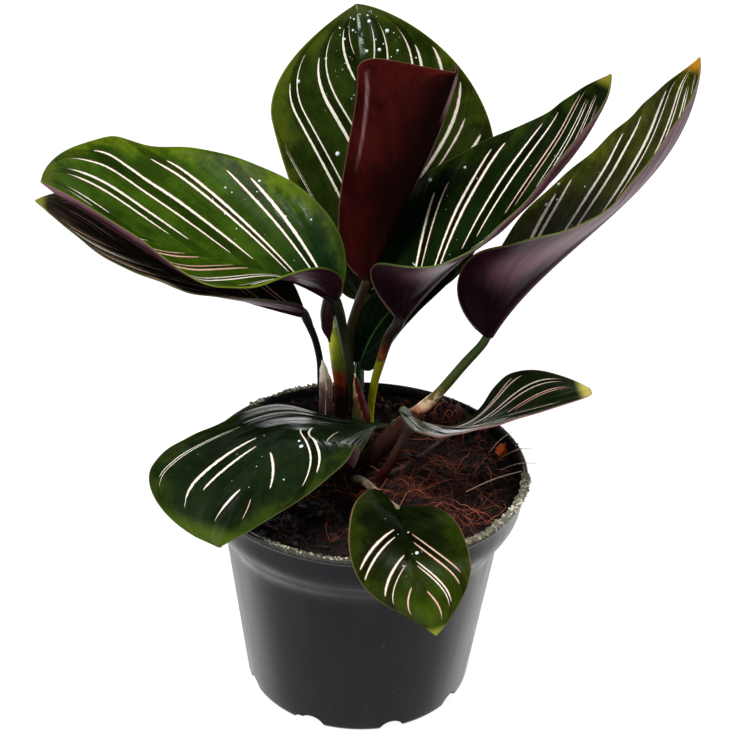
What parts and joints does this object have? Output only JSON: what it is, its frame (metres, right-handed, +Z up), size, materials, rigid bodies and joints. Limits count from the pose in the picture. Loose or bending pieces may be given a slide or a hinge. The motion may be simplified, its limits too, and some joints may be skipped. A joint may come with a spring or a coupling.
{
  "type": "potted calathea",
  "caption": "Calathea house plant with arching pin-striped leaves on slender stems, standing in potting soil in a round black nursery pot with a collar.",
  "frame": {"origin": "centre of the pot's flat base, at mount pot_base", "axes": "+Z up from the base; -Y is the front of the plant, where the front leaf hangs over the rim; +X is its right"},
  "size_m": [0.2185, 0.136, 0.2472],
  "materials": {
    "pot_plastic": "black satin moulded plastic with a scuffed rim",
    "potting_soil": "dark moist coir and bark with reddish fibres",
    "leaf_blade": "waxy dark green with cream-pink pin stripes above, burgundy below",
    "petiole_olive": "smooth satin olive",
    "petiole_dark": "smooth satin green-black",
    "petiole_yellow_green": "smooth satin yellow-green",
    "petiole_burgundy": "smooth satin burgundy brown",
    "sheath_dry": "dry papery beige"
  },
  "bodies": {
    "root": {"pot": "pot_plastic", "soil": "potting_soil", "leaf_back": "leaf_blade", "leaf_folded": "leaf_blade", "leaf_left_upper": "leaf_blade", "leaf_left_lower": "leaf_blade", "leaf_right_upper": "leaf_blade", "leaf_right_far": "leaf_blade", "leaf_drooping": "leaf_blade", "leaf_front": "leaf_blade", "leaf_right_low": "leaf_blade", "leaf_young": "leaf_blade", "petiole_back": "petiole_olive", "petiole_folded": "petiole_olive", "petiole_left_upper": "petiole_olive", "petiole_left_lower": "petiole_dark", "petiole_right_upper": "petiole_yellow_green", "petiole_right_far": "petiole_burgundy", "petiole_drooping": "petiole_olive", "petiole_front": "petiole_olive", "petiole_right_low": "petiole_burgundy", "petiole_young": "petiole_olive", "sheath_green": "petiole_yellow_green", "sheath_red": "petiole_burgundy", "sheath_dry": "sheath_dry"}
  },
  "joints": []
}
